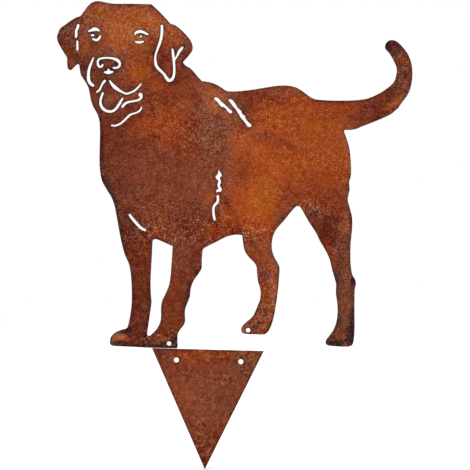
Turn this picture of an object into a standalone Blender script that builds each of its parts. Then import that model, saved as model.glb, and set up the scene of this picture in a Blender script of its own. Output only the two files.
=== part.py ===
"""Dog garden stake: a dog cut from sheet steel, standing on a triangular spike plate.

Metres, +Z up. The front faces look along -Y. The origin is the ground line, at the
middle of the spike's top edge. The dog's drawing is in millimetres from the heel of its
front paw, x to the right and z up, as it was drawn for DRAWN_HEIGHT.
"""

import math

import bmesh
import bpy
from mathutils import Vector

# Sheet and bolts
SHEET_THICKNESS = 0.002
PAW_HOLE = 0.0042  # diameter, for an M4 bolt
SPIKE_HOLE = 0.005  # the same bolt, with room to shift
HOLE_SIDES = 32

# Spike plate
SPIKE_WIDTH = 0.1118
SPIKE_DEPTH = 0.1196  # from the top edge to the point
SPIKE_LEAN = math.radians(1.5)  # clockwise, seen from the front
SPIKE_BOLT_INSET = 0.0237  # along the top edge, from its corners to the bolt holes
SPIKE_BOLT_SHIFT = 0.001  # the bolt pair lies this far right of the point
SPIKE_BOLT_METAL = 0.0087  # left between the bolt holes and the top edge

# Dog plate
DOG_HEIGHT = 0.347  # from the front heel to the crown
DRAWN_HEIGHT = 347.0
PAW_OVERLAP = 0.0249  # how much of the spike's top edge lies under the front paw
SEAT_GAP = 0.0003  # between the paw and the spike's top edge

# Metal left beside and under the bolt holes in the paws
HEEL_METAL = 0.0057
FRONT_SOLE_METAL = 0.0027
TOE_METAL = 0.0052
HIND_SOLE_METAL = 0.0018

# How finely curves are cut, in drawing millimetres
FLATNESS = 0.06
SPAN_STEPS = 12
CAP_STEPS = 4

# How far a cutter reaches, for each millimetre of sheet
CUTTER_REACH = 3

# The dog's outline, clockwise. Each stretch is smooth and starts at the last one's corner
OUTLINE = {
    "crown": [
        (-96.5, 332), (-93.5, 336), (-89, 342.2), (-85.5, 345.3), (-81.5, 346.9),
        (-76.5, 346.9), (-71, 345.8), (-64, 344.6), (-47, 344.5), (-25.5, 344),
    ],
    "temple": [(-25.5, 344), (-16.7, 335.8), (-10.6, 329.3), (-6.2, 324.3)],
    "near_ear": [
        (-6.2, 324.3), (-1.7, 323), (5.4, 317.3), (13.2, 308.4), (15.6, 303),
        (15.6, 298.5), (13.1, 294.2), (6, 286.2),
    ],
    "nape": [
        (6, 286.2), (8, 283.3), (13.2, 280), (16.7, 276.7), (20.3, 272.3), (25, 267.2),
    ],
    "withers": [
        (25, 267.2), (33.2, 265.9), (39.4, 263.7), (44.3, 260.8), (48.6, 257.8),
    ],
    "back": [
        (48.6, 257.8), (52, 256.9), (61, 257), (73, 258.2), (89, 260.7), (100, 262.4),
        (110, 262.6), (118.2, 261.1), (125.3, 257.2), (132.3, 252), (137.8, 249.1),
        (146, 248.1), (163, 247.6), (181, 248.2), (191, 249.9), (200.8, 254),
        (208.7, 258.9), (214.5, 263.5), (218, 268.3), (219.5, 274), (219.8, 280),
        (217.1, 286.9), (212.6, 294.8), (208.6, 299.4), (208.1, 302.5), (210.4, 306.6),
        (214.6, 308.2), (219.3, 307), (225.4, 301.5), (231.4, 293.2), (234.6, 284),
        (235.5, 275), (234.6, 265), (231.7, 255.3), (226.2, 247.2), (222.6, 242.3),
    ],
    "tail_underside": [
        (222.6, 242.3), (221.2, 239.9), (219, 238.4), (215.2, 234.9), (207.2, 230.7),
        (195.2, 225.7), (185.2, 221.9), (179.2, 219.3), (174, 218.4), (167.5, 218.3),
    ],
    "far_hind_leg": [
        (167.5, 218.3), (167.3, 216.3), (169.9, 209), (172.2, 201), (173.6, 191),
        (174.2, 180), (173.7, 171), (172.1, 166), (172.7, 159), (171.2, 152),
        (170.9, 148), (172.7, 141), (175.1, 131), (175.2, 120), (173.8, 106),
        (173.4, 92), (174.4, 78), (175.8, 72.7), (178.2, 68.7), (179, 64.8), (178, 60),
        (177.5, 48), (177.6, 30), (177.6, 16), (176.3, 5.5), (174.6, 2.8),
        (171.5, 1.7), (163, 1.7), (155, 2.3), (150.8, 2.9), (148.7, 4.8), (149.1, 8),
        (152.5, 12.8), (156.5, 18.5), (159.4, 26), (160.7, 37), (160.1, 47),
        (159, 55), (159.2, 64), (157.6, 70.4), (155.1, 78.9), (152.7, 89),
        (148.4, 98.3), (142.7, 107.8), (138.9, 115.8), (132, 126.3), (125, 138.6),
        (123, 141.6), (121, 142.3),
    ],
    "near_hind_leg": [
        (121, 142.3), (118.8, 141.4), (113.4, 135.7), (107.4, 128), (100, 119.8),
        (96.6, 113.7), (95.1, 107), (95, 99.4), (97.1, 91.8), (100.9, 85.1),
        (102.5, 80.9), (102.2, 72), (101.2, 59), (99.3, 45), (97, 32), (94, 22),
        (91, 16.4), (87.5, 13.9), (78, 14), (69, 14.3), (65.4, 15.5), (64, 18.2),
        (65.1, 21.4), (68.7, 25.6), (74.2, 30.2), (77, 33.9), (80, 41), (83, 48.6),
        (83.8, 55), (83, 60.7), (81, 67), (80, 76), (79.4, 82.1), (77.4, 85.5),
        (72.9, 90.1), (68.5, 95.9), (66.5, 102.9), (65.6, 110.3), (65.1, 112.9),
    ],
    "belly": [
        (65.1, 112.9), (62, 113.5), (56, 113.2), (49.2, 111.4), (40.2, 106.8),
        (28.2, 100.8), (25.9, 98.9),
    ],
    "near_front_leg": [
        (25.9, 98.9), (25.2, 93), (24.9, 86), (24.7, 80), (21.9, 74.9), (18, 69.7),
        (14.8, 63.3), (13.5, 57.4), (13, 52), (10.3, 44.9), (8.2, 38.6), (8, 33),
        (8.2, 27), (6.8, 23.3), (2.9, 18), (0.9, 14), (0.6, 8), (0.8, 2), (0, 0),
    ],
    "front_paws": [
        (0, 0), (-12, 0.1), (-20, 0.4), (-28, 0.6), (-46, 1.5), (-57, 2), (-64, 2.5),
        (-66.6, 4), (-67, 7), (-66, 11.3), (-62.6, 15.2), (-57, 18.2), (-51, 19.8),
        (-49.3, 21.3),
    ],
    "far_front_leg": [
        (-49.3, 21.3), (-47.8, 27), (-46.2, 36), (-45.2, 45), (-45.2, 61), (-46, 73),
        (-47.8, 83.8), (-51.9, 93.3), (-54.8, 103.4), (-57.8, 118), (-60, 130.5),
        (-62.5, 143), (-65.5, 151), (-70.8, 159.7), (-75, 167.7), (-76.8, 177),
        (-77.4, 188), (-77.1, 203), (-76.9, 218), (-77.6, 228), (-79.6, 234.3),
        (-83.5, 241.2), (-86, 248.3), (-87.3, 254.8), (-88.4, 260.2), (-90.8, 265.2),
        (-94, 270), (-96, 273.5), (-97.1, 279), (-97.6, 283.3),
    ],
    "far_ear": [
        (-97.6, 283.3), (-99, 284.1), (-101.4, 282.6), (-104.6, 279.1), (-107.1, 278.1),
        (-109, 280), (-109.8, 286), (-109.8, 290.4), (-112, 294.1), (-116, 300.5),
        (-119.2, 307), (-119.9, 310.8), (-118.7, 315.5), (-116.6, 319.8), (-112.1, 323.2),
        (-105.1, 328.2), (-100.6, 330.8), (-96.5, 332),
    ],
}

# The opening between the two front legs
FRONT_LEG_GAP = {
    "chest": [
        (-24.4, 107), (-23.4, 108.6), (-20.5, 109), (-16, 107.3), (-9, 104.2),
        (-4.3, 102),
    ],
    "legs": [
        (-4.3, 102), (-4.7, 95), (-5.6, 82), (-6.5, 71), (-8.1, 62.5), (-11.4, 54.5),
        (-14.8, 47.2), (-15.9, 40), (-15.8, 33), (-16.6, 26.5), (-19.6, 20.3),
        (-24.5, 14.8), (-27.8, 12.5), (-29.5, 13.4), (-29.4, 17), (-28.2, 25.5),
        (-26.4, 38), (-25.4, 47), (-26, 53.5), (-26.4, 64), (-25.8, 80), (-24.9, 95),
        (-24.4, 107),
    ],
}

# The upper crease of the flank, a jagged slot
FLANK_CREASE = {
    "rear": [
        (41.9, 178.2), (43.1, 176.4), (44.5, 174), (44.7, 172.3), (43.4, 171.3),
        (42.9, 170.2), (43.7, 168), (43.9, 165.6), (43.1, 163.7), (43, 162.3),
        (44.3, 160.5), (44.9, 158.8), (44.2, 156.9),
    ],
    "front": [
        (44.2, 156.9), (42.5, 156.6), (41, 156.5), (39.9, 156), (39.4, 156.6),
        (39.7, 158.1), (41.2, 158.9), (41.6, 159.9), (40.9, 161.6), (40.5, 163.4),
        (40.8, 165), (41.6, 166.6), (41, 168.2), (39.3, 169.7), (38.7, 170.8),
        (39.1, 172.3), (40.5, 173.6), (41.1, 175), (41.3, 177), (41.9, 178.2),
    ],
}

# The two slots over the shoulder, cut with a ragged line
SHOULDER_FRONT = {
    "rear": [
        (38, 251), (40.5, 250.5), (42.5, 249), (44.6, 246.4), (47.5, 244.1),
        (51, 240.6), (55, 237), (55.2, 235.6),
    ],
    "front": [
        (55.2, 235.6), (53.5, 235), (52, 235.7), (50.2, 237.7), (49.2, 239.4),
        (46.5, 241.2), (44.5, 241.6), (42.5, 243.6), (40.7, 246.2), (37.4, 249.3),
        (38, 251),
    ],
}
SHOULDER_REAR = {
    "rear": [
        (52.7, 249.3), (55.4, 248.2), (58.5, 244.2), (60.7, 240.5), (64.2, 237.2),
        (65.4, 234.1), (67.6, 232.8), (68.3, 230.1), (71.4, 226.2), (74.4, 223.2),
        (74.2, 221.6),
    ],
    "front": [
        (74.2, 221.6), (71.7, 221.4), (70, 222.7), (67.2, 227), (63.8, 230.7),
        (62.1, 234.1), (60.7, 235.6), (59.1, 238.9), (57, 240.9), (52.5, 246.8),
        (51.6, 248.2), (52.7, 249.3),
    ],
}

# Lines cut through the sheet: x, z and the line's width along its middle
CUT_LINES = {
    "far_ear_fold_upper": [
        (-98.8, 323.1, 2.6), (-99.3, 320.4, 2.5), (-100.7, 317.8, 2.4),
        (-100.6, 314.5, 2.5), (-101, 311.4, 2.3),
    ],
    "far_ear_fold_lower": [(-99.6, 306.9, 1.9), (-99.5, 303, 2.1), (-99.5, 298.7, 2.1)],
    "far_brow": [
        (-88.1, 317.1, 1.6), (-85.4, 318.1, 2.6), (-82.3, 319.1, 3.6),
        (-79.8, 318.7, 2.8), (-78, 317.6, 1.5),
    ],
    "far_eye": [(-85.1, 313.2, 2.0), (-83.4, 312.9, 1.9)],
    "far_lower_lid": [
        (-84.2, 309.4, 1.6), (-82, 308.5, 2.1), (-79.7, 308.3, 2.4), (-77.8, 310, 2.2),
        (-76.9, 312.1, 1.8),
    ],
    "near_brow": [
        (-41.9, 314, 1.5), (-40.4, 315.9, 2.6), (-37, 316.8, 2.8), (-33.2, 315.9, 2.5),
        (-29.2, 313.8, 1.7),
    ],
    "near_eye_glint": [(-35.4, 312.5, 1.3), (-36.5, 311.3, 1.3)],
    "near_lower_lid": [
        (-41.4, 306.6, 1.3), (-39, 306.1, 2.1), (-36, 306.1, 2.2), (-33.5, 306.8, 1.4),
    ],
    "cheek": [
        (-83.5, 290.4, 1.4), (-85.1, 286.5, 1.9), (-87, 282, 2.4), (-88.2, 277, 2.7),
        (-88.5, 272, 3.0), (-88, 267.4, 3.1), (-86, 264.4, 2.9), (-83.7, 262.7, 2.3),
    ],
    "nose": [
        (-74.3, 283.6, 1.7), (-75, 282, 1.9), (-76.8, 281.4, 2.1), (-78.6, 282.8, 2.2),
        (-79.2, 285.5, 2.0), (-78.8, 288, 2.0), (-77, 289.5, 1.9), (-73.5, 290.2, 1.8),
        (-68.5, 290.4, 1.8), (-63.5, 289.7, 2.3), (-59.9, 288.2, 2.9),
        (-57.6, 286, 2.6), (-57.1, 283.4, 2.2), (-58.6, 281.2, 2.1),
        (-61.2, 280.3, 2.0), (-63.4, 280.5, 1.8),
    ],
    "under_nose": [(-72.3, 276.1, 1.6), (-68.5, 275.9, 3.5), (-64.3, 276.4, 1.6)],
    "far_lip": [
        (-72.2, 267.2, 2.6), (-74, 265.2, 2.0), (-75.6, 262.2, 1.7), (-77, 259.1, 1.9),
        (-78.5, 257.3, 1.9), (-79.9, 256.4, 1.7),
    ],
    "near_lip": [
        (-67.2, 267.4, 1.5), (-65, 264.2, 2.5), (-62, 261, 3.3), (-58.2, 258.2, 2.6),
        (-54.4, 256.1, 1.8), (-50.8, 254.6, 1.9), (-46.8, 255.5, 1.9),
        (-42.4, 257.7, 1.9), (-39, 260.7, 1.8), (-35.9, 264.4, 1.3),
    ],
    "tongue": [
        (-74, 255.2, 1.8), (-75.5, 251.5, 2.1), (-76.5, 247, 2.2), (-75.9, 242.7, 2.5),
        (-73.2, 239, 2.6), (-69, 236.9, 2.4), (-64.8, 237, 2.4), (-61.3, 239.2, 2.4),
        (-58.3, 243.2, 2.4), (-56, 247, 2.3), (-54.4, 249.7, 1.8),
    ],
    "lower_lip": [
        (-54.6, 241.3, 2.0), (-52.7, 243.8, 2.5), (-50, 245.7, 2.2), (-45.5, 246.8, 1.9),
        (-40.8, 247.6, 1.9), (-37.2, 249, 2.1), (-35.6, 251.2, 2.5), (-36.5, 253.5, 4.2),
    ],
    "jaw": [
        (-65.2, 222.9, 1.5), (-61.7, 222.6, 1.7), (-57.3, 224.2, 1.8),
        (-53.2, 227.3, 1.9), (-49.6, 230.9, 2.0), (-46.5, 233.6, 2.1), (-43, 234.8, 1.6),
        (-39.3, 236.1, 1.7), (-36.7, 238.2, 1.8), (-35.4, 240.7, 1.5),
    ],
    "near_ear_edge": [
        (-15.1, 322.5, 2.4), (-14.9, 318, 2.5), (-15.4, 312, 2.6), (-16.6, 307, 2.6),
        (-18.1, 302.5, 2.3), (-19.8, 298, 2.0), (-21.2, 294, 1.9), (-21.7, 290, 1.9),
        (-21.5, 286.3, 2.4), (-20.7, 282.8, 2.8), (-18.8, 280, 2.6), (-15.8, 277, 2.4),
        (-12.6, 273.8, 2.3), (-10.6, 270.6, 2.8), (-8.2, 268, 3.1), (-5.7, 268.3, 2.9),
        (-3.7, 271, 2.6), (-2.7, 275.5, 2.3), (-2.7, 281, 2.2), (-3.1, 287.5, 2.3),
        (-3.8, 293.5, 2.6), (-4.2, 297, 2.3), (-4.5, 298.9, 1.8),
    ],
    "flank": [
        (40.9, 151.9, 2.4), (41, 148.5, 2.2), (40.1, 145.6, 2.3), (37.9, 143.3, 2.4),
        (36.6, 140.6, 2.3), (36.5, 136.5, 2.2), (36.9, 132.5, 2.4), (37.7, 128.8, 2.2),
    ],
    "elbow": [
        (-47.2, 133.3, 2.3), (-45.2, 130.5, 2.6), (-42.6, 127.4, 2.7),
        (-40.2, 124.6, 2.7), (-37.6, 122, 2.6), (-35.1, 119.7, 2.5), (-32, 118.2, 2.2),
    ],
}

# Lines that run into another one
BRANCH_LINES = {
    "under_nose_stem": [(-68.5, 278.6, 1.9), (-68.5, 276.4, 3.0)],
    "near_ear_fold": [
        (-2.4, 288.6, 2.0), (0.1, 292.2, 1.7), (1.2, 294.4, 2.2), (2.4, 296.9, 2.7),
        (4, 299, 2.7), (5.5, 300.8, 1.9),
    ],
}

# Where the bolted paws end: the front heel, and the hind toe over the sole
HEEL_CORNER = (0, 0)
TOE_CORNER = (64, 14.2)

# Finish of both plates
RUST_COLOUR = (0.24, 0.075, 0.03, 1.0)
RUST_ROUGHNESS = 0.85
SHARP_ANGLE = math.radians(35)


def clear_scene():
    for obj in list(bpy.data.objects):
        bpy.data.objects.remove(obj, do_unlink=True)


def through(points):
    """A smooth curve through the points, as a centripetal Catmull-Rom spline."""
    points = [Vector(point) for point in points]
    knots = [0.0]
    for before, after in zip(points, points[1:]):
        knots.append(knots[-1] + math.sqrt((after - before).to_2d().length))
    slopes = [(b - a) / (t - s) for a, b, s, t in zip(points, points[1:], knots, knots[1:])]
    tangents = [
        ((knots[i + 1] - knots[i]) * slopes[i - 1] + (knots[i] - knots[i - 1]) * slopes[i])
        / (knots[i + 1] - knots[i - 1])
        for i in range(1, len(points) - 1)
    ]
    first = tangents[0] if tangents else slopes[0]
    last = tangents[-1] if tangents else slopes[-1]
    tangents = [1.5 * slopes[0] - 0.5 * first, *tangents, 1.5 * slopes[-1] - 0.5 * last]
    curve = []
    for i, slope in enumerate(slopes):
        span = knots[i + 1] - knots[i]
        for step in range(SPAN_STEPS):
            t = step / SPAN_STEPS
            bend_in = (tangents[i] - slope) * span * t * (1 - t) ** 2
            bend_out = (tangents[i + 1] - slope) * span * t * t * (1 - t)
            curve.append(points[i] + slope * span * t + bend_in - bend_out)
    return curve + [points[-1]]


def thinned(points):
    """Keeps only the points that hold the curve to within FLATNESS of its shape."""
    start, end = points[0], points[-1]
    chord = end - start
    offsets = [abs(chord.cross(point - start)) / chord.length for point in points]
    furthest = max(range(len(points)), key=offsets.__getitem__)
    if offsets[furthest] < FLATNESS:
        return [start, end]
    return thinned(points[: furthest + 1])[:-1] + thinned(points[furthest:])


def closed_outline(stretches):
    """One closed loop from smooth stretches that meet at corners."""
    loop = []
    for points in stretches.values():
        loop += thinned(through(points))[:-1]
    return loop


def line_outline(points):
    """The closed outline of a cut line with round ends, from its middle and its widths."""
    middle = through(points)
    sides = {1: [], -1: []}
    for i, point in enumerate(middle):
        ahead = middle[min(i + 1, len(middle) - 1)] - middle[max(i - 1, 0)]
        across = Vector((-ahead.y, ahead.x)).normalized()
        for side, edge in sides.items():
            edge.append(point.to_2d() + side * across * point.z / 2)
    loop = []
    for side, edge in ((-1, sides[-1]), (1, sides[1][::-1])):
        loop += thinned(edge)
        end = middle[-1] if side < 0 else middle[0]
        arm = edge[-1] - end.to_2d()
        for step in range(1, CAP_STEPS):
            turn = math.pi * step / CAP_STEPS
            turned = Vector((
                arm.x * math.cos(turn) - arm.y * math.sin(turn),
                arm.x * math.sin(turn) + arm.y * math.cos(turn),
            ))
            loop.append(end.to_2d() + turned)
    return loop


def circle(centre, diameter):
    turns = [2 * math.pi * i / HOLE_SIDES for i in range(HOLE_SIDES)]
    rim = [Vector((math.cos(turn), math.sin(turn))) * diameter / 2 for turn in turns]
    return [Vector(centre) + point for point in rim]


def metres(loop):
    """A loop of the dog's drawing at its real size."""
    scale = DOG_HEIGHT / DRAWN_HEIGHT
    return [point * scale for point in loop]


def cut_from_sheet(name, loops, thickness, material=None):
    """An object with each loop cut out as a flat piece, centred on the sheet's middle."""
    mesh = bpy.data.meshes.new(name)
    bm = bmesh.new()
    for loop in loops:
        face = bm.faces.new([bm.verts.new((p.x, -thickness / 2, p.y)) for p in loop])
        swept = bmesh.ops.extrude_face_region(bm, geom=[face])
        back = [item for item in swept["geom"] if isinstance(item, bmesh.types.BMVert)]
        bmesh.ops.translate(bm, verts=back, vec=(0, thickness, 0))
    bmesh.ops.recalc_face_normals(bm, faces=bm.faces)
    bm.to_mesh(mesh)
    bm.free()
    obj = bpy.data.objects.new(name, mesh)
    bpy.context.scene.collection.objects.link(obj)
    if material:
        mesh.materials.append(material)
    return obj


def cut_through(plate, name, loops):
    """Cuts the loops through the plate."""
    cutter = cut_from_sheet(name, loops, CUTTER_REACH * SHEET_THICKNESS)
    cutter.parent = plate
    cutter.hide_render = True
    cutter.display_type = "WIRE"
    cut = plate.modifiers.new(name, "BOOLEAN")
    cut.operation = "DIFFERENCE"
    cut.solver = "EXACT"
    cut.object = cutter


def rusted_steel():
    material = bpy.data.materials.new("rusted_steel")
    material.use_nodes = True
    shader = material.node_tree.nodes["Principled BSDF"]
    shader.inputs["Base Color"].default_value = RUST_COLOUR
    shader.inputs["Roughness"].default_value = RUST_ROUGHNESS
    shader.inputs["Metallic"].default_value = 0.0
    return material


def spike_plate(material):
    """The triangular plate, with its bolt pair over its point."""
    corners = [
        Vector((-SPIKE_WIDTH / 2, 0)),
        Vector((SPIKE_WIDTH / 2, 0)),
        Vector((0, -SPIKE_DEPTH)),
    ]
    plate = cut_from_sheet("spike_plate", [corners], SHEET_THICKNESS, material)
    spread = SPIKE_WIDTH / 2 - SPIKE_BOLT_INSET
    drop = SPIKE_BOLT_METAL + SPIKE_HOLE / 2
    bolts = [circle((SPIKE_BOLT_SHIFT + x, -drop), SPIKE_HOLE) for x in (-spread, spread)]
    cut_through(plate, "spike_bolt_holes", bolts)
    plate.rotation_euler.y = SPIKE_LEAN
    return plate


def heel_place():
    """Where the front heel stands, so that the sole clears the spike's top edge by SEAT_GAP."""
    corner = SPIKE_WIDTH / 2 * math.cos(SPIKE_LEAN)
    heel_x = PAW_OVERLAP - corner
    sole = metres(through(OUTLINE["front_paws"]))
    seated = [point for point in sole if -corner <= heel_x + point.x <= corner]
    lift = max(-math.tan(SPIKE_LEAN) * (heel_x + point.x) - point.y for point in seated)
    return heel_x, 0, lift + SEAT_GAP / math.cos(SPIKE_LEAN)


def paw_bolts():
    """The bolt holes in the near front paw and the near hind paw."""
    heel, toe = metres([Vector(HEEL_CORNER), Vector(TOE_CORNER)])
    radius = PAW_HOLE / 2
    front = heel + Vector((-HEEL_METAL - radius, FRONT_SOLE_METAL + radius))
    hind = toe + Vector((TOE_METAL + radius, HIND_SOLE_METAL + radius))
    return [circle(front, PAW_HOLE), circle(hind, PAW_HOLE)]


def dog_plate(material):
    """The dog, with the drawing's lines, the gap between its front legs and its bolt holes."""
    outline = metres(closed_outline(OUTLINE))
    plate = cut_from_sheet("dog_plate", [outline], SHEET_THICKNESS, material)
    for name, lines in (("drawing_lines", CUT_LINES), ("branch_lines", BRANCH_LINES)):
        cut_through(plate, name, [metres(line_outline(points)) for points in lines.values()])
    slots = [FRONT_LEG_GAP, FLANK_CREASE, SHOULDER_FRONT, SHOULDER_REAR]
    cut_through(plate, "shaped_slots", [metres(closed_outline(slot)) for slot in slots])
    cut_through(plate, "paw_bolt_holes", paw_bolts())
    plate.location = heel_place()
    return plate


def main():
    clear_scene()
    material = rusted_steel()
    for plate in (spike_plate(material), dog_plate(material)):
        plate.data.shade_smooth()
        plate.data.set_sharp_from_angle(angle=SHARP_ANGLE)


main()
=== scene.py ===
import math

import bmesh
import bpy
import numpy as np
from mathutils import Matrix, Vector, geometry, kdtree, noise


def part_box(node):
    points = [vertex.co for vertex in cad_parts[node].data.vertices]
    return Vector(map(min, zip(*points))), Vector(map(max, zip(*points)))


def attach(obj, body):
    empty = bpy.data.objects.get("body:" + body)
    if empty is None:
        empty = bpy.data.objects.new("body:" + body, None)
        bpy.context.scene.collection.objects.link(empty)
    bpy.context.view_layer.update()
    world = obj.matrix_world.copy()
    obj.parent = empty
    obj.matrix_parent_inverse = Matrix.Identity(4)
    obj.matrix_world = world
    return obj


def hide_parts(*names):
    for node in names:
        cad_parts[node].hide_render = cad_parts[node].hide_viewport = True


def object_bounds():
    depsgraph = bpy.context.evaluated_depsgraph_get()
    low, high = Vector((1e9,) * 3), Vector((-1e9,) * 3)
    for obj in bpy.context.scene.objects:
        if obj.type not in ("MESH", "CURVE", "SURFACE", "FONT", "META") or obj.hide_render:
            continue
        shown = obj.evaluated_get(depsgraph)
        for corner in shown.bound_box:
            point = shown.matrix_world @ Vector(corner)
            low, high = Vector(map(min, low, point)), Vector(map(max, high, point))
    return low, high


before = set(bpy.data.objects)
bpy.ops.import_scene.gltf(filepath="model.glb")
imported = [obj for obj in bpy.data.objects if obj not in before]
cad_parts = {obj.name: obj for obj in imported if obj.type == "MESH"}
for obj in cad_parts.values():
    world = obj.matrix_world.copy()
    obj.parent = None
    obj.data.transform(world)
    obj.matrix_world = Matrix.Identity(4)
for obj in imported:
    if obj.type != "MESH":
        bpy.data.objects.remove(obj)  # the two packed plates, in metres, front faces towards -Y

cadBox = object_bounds()
mm = 0.001
print("frame loaded:", sorted(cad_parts))

# Camera, straight in front of the plates
shot = {
    "lens": 150.0,  # mm; a long lens, so that the flat plates look square
    "sensor": 36.0,  # mm
    "width": 0.470,  # metres seen from side to side at the plates
    "aim": (0.0271, 0.0, 0.1146),
    "nearest": 0.01,
    "farthest": 50.0,
}


def makeCamera(shot):
    data = bpy.data.cameras.new("studioCamera")
    data.lens = shot["lens"]
    data.sensor_width = shot["sensor"]
    data.clip_start = shot["nearest"]
    data.clip_end = shot["farthest"]
    camera = bpy.data.objects.new("studioCamera", data)
    distance = shot["width"] * shot["lens"] / shot["sensor"]
    camera.location = Vector(shot["aim"]) - Vector((0, distance, 0))
    camera.rotation_euler = (math.radians(90), 0, 0)
    bpy.context.scene.collection.objects.link(camera)
    bpy.context.scene.camera = camera


makeCamera(shot)
bpy.context.scene.view_settings.view_transform = "Standard"
print("camera placed")

# Studio: a white room, one soft light from the upper left, and a pale floor
studio = {
    "roomLight": 0.80,
    "backdrop": 1.0,  # what the camera sees behind the plates
    "softboxAt": (-0.9, -1.5, 1.3),
    "softboxSize": 1.2,
    "softboxPower": 9.0,
    "overheadHeight": 2.0,
    "overheadPower": 1.6,  # straight down, onto the floor
    "overheadSpread": 40.0,  # degrees
    "floorSize": 6.0,
    "floorDrop": 0.0004,  # under the spike's point
    "floorColour": (0.93, 0.93, 0.92, 1.0),
    "floorRoughness": 0.9,
}


def nodeIn(tree, kind, **values):
    node = tree.nodes.new(kind)
    for name, value in values.items():
        setattr(node, name, value)
    return node


def wire(tree, source, target):
    tree.links.new(source, target)


def makeRoom(studio):
    world = bpy.data.worlds.new("whiteRoom")
    bpy.context.scene.world = world
    world.use_nodes = True
    tree = world.node_tree
    tree.nodes.clear()
    seen = nodeIn(tree, "ShaderNodeLightPath")
    mix = nodeIn(tree, "ShaderNodeMixShader")
    out = nodeIn(tree, "ShaderNodeOutputWorld")
    wire(tree, seen.outputs["Is Camera Ray"], mix.inputs["Fac"])
    for strength, socket in ((studio["roomLight"], mix.inputs[1]), (studio["backdrop"], mix.inputs[2])):
        background = nodeIn(tree, "ShaderNodeBackground")
        background.inputs["Color"].default_value = (1, 1, 1, 1)
        background.inputs["Strength"].default_value = strength
        wire(tree, background.outputs[0], socket)
    wire(tree, mix.outputs[0], out.inputs["Surface"])


def makeLights(studio):
    softbox = bpy.data.lights.new("softbox", "AREA")
    softbox.energy = studio["softboxPower"]
    softbox.size = studio["softboxSize"]
    lamp = bpy.data.objects.new("softbox", softbox)
    lamp.location = studio["softboxAt"]
    towards = Vector(shot["aim"]) - lamp.location
    lamp.rotation_euler = towards.to_track_quat("-Z", "Y").to_euler()
    bpy.context.scene.collection.objects.link(lamp)

    overhead = bpy.data.lights.new("overhead", "SUN")
    overhead.energy = studio["overheadPower"]
    overhead.angle = math.radians(studio["overheadSpread"])
    lamp = bpy.data.objects.new("overhead", overhead)
    lamp.location = (0, 0, studio["overheadHeight"])
    bpy.context.scene.collection.objects.link(lamp)


def makeFloor(studio):
    mesh = bpy.data.meshes.new("studioFloor")
    half = studio["floorSize"] / 2
    low = cadBox[0][2] - studio["floorDrop"]
    corners = [(-half, -half, low), (half, -half, low), (half, half, low), (-half, half, low)]
    mesh.from_pydata(corners, [], [(0, 1, 2, 3)])
    floor = bpy.data.objects.new("studioFloor", mesh)
    bpy.context.scene.collection.objects.link(floor)
    paint = bpy.data.materials.new("floorPaint")
    paint.use_nodes = True
    shader = paint.node_tree.nodes["Principled BSDF"]
    shader.inputs["Base Color"].default_value = studio["floorColour"]
    shader.inputs["Roughness"].default_value = studio["floorRoughness"]
    mesh.materials.append(paint)


makeRoom(studio)
makeLights(studio)
makeFloor(studio)
print("studio lit")

frontward = -0.9  # a face looks to the front when its normal's y is below this
weldDistance = 1e-7  # metres


# Outlines read from a plate's front face, in millimetres, with the steel on their left
def frontLoops(node, longestStep):
    bm = bmesh.new()
    bm.from_mesh(node.data)
    bmesh.ops.remove_doubles(bm, verts=bm.verts, dist=weldDistance)
    bm.normal_update()
    following = {}
    for face in bm.faces:
        if face.normal.y > frontward:
            continue
        for corner in face.loops:
            if any(other.normal.y > frontward for other in corner.edge.link_faces):
                following[corner.vert.index] = corner.link_loop_next.vert.index
    place = {v.index: (v.co.x / mm, v.co.z / mm) for v in bm.verts}
    bm.free()
    loops = []
    while following:
        start, here = following.popitem()
        loop = [start]
        while here != start:
            loop.append(here)
            here = following.pop(here)
        loops.append(finerLoop([place[i] for i in loop], longestStep))
    return sorted(loops, key=len, reverse=True)


def finerLoop(corners, longestStep):
    points = []
    for (x0, z0), (x1, z1) in zip(corners, corners[1:] + corners[:1]):
        pieces = max(1, math.ceil(math.hypot(x1 - x0, z1 - z0) / longestStep))
        for i in range(pieces):
            points.append((x0 + (x1 - x0) * i / pieces, z0 + (z1 - z0) * i / pieces))
    return np.array(points)


def loopEnds(loops):
    return np.concatenate([np.roll(loop, -1, axis=0) for loop in loops])


# Distance from any point to the nearest cut edge, in millimetres
class EdgeFinder:
    triedEdges = 4  # the edges whose middles are nearest

    def __init__(self, loops):
        self.starts = np.concatenate(loops)
        self.ends = loopEnds(loops)
        self.tree = kdtree.KDTree(len(self.starts))
        for i, (start, end) in enumerate(zip(self.starts, self.ends)):
            middle = (start + end) / 2
            self.tree.insert((middle[0], middle[1], 0), i)
        self.tree.balance()

    def distances(self, points):
        found = [self.tree.find_n((x, z, 0), self.triedEdges) for x, z in points]
        near = np.array([[hit[1] for hit in hits] for hits in found])
        best = np.full(len(points), np.inf)
        for column in near.T:
            start, run = self.starts[column], self.ends[column] - self.starts[column]
            along = ((points - start) * run).sum(1) / (run * run).sum(1)
            foot = start + run * np.clip(along, 0, 1)[:, None]
            best = np.minimum(best, np.hypot(*(points - foot).T))
        return best


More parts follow.
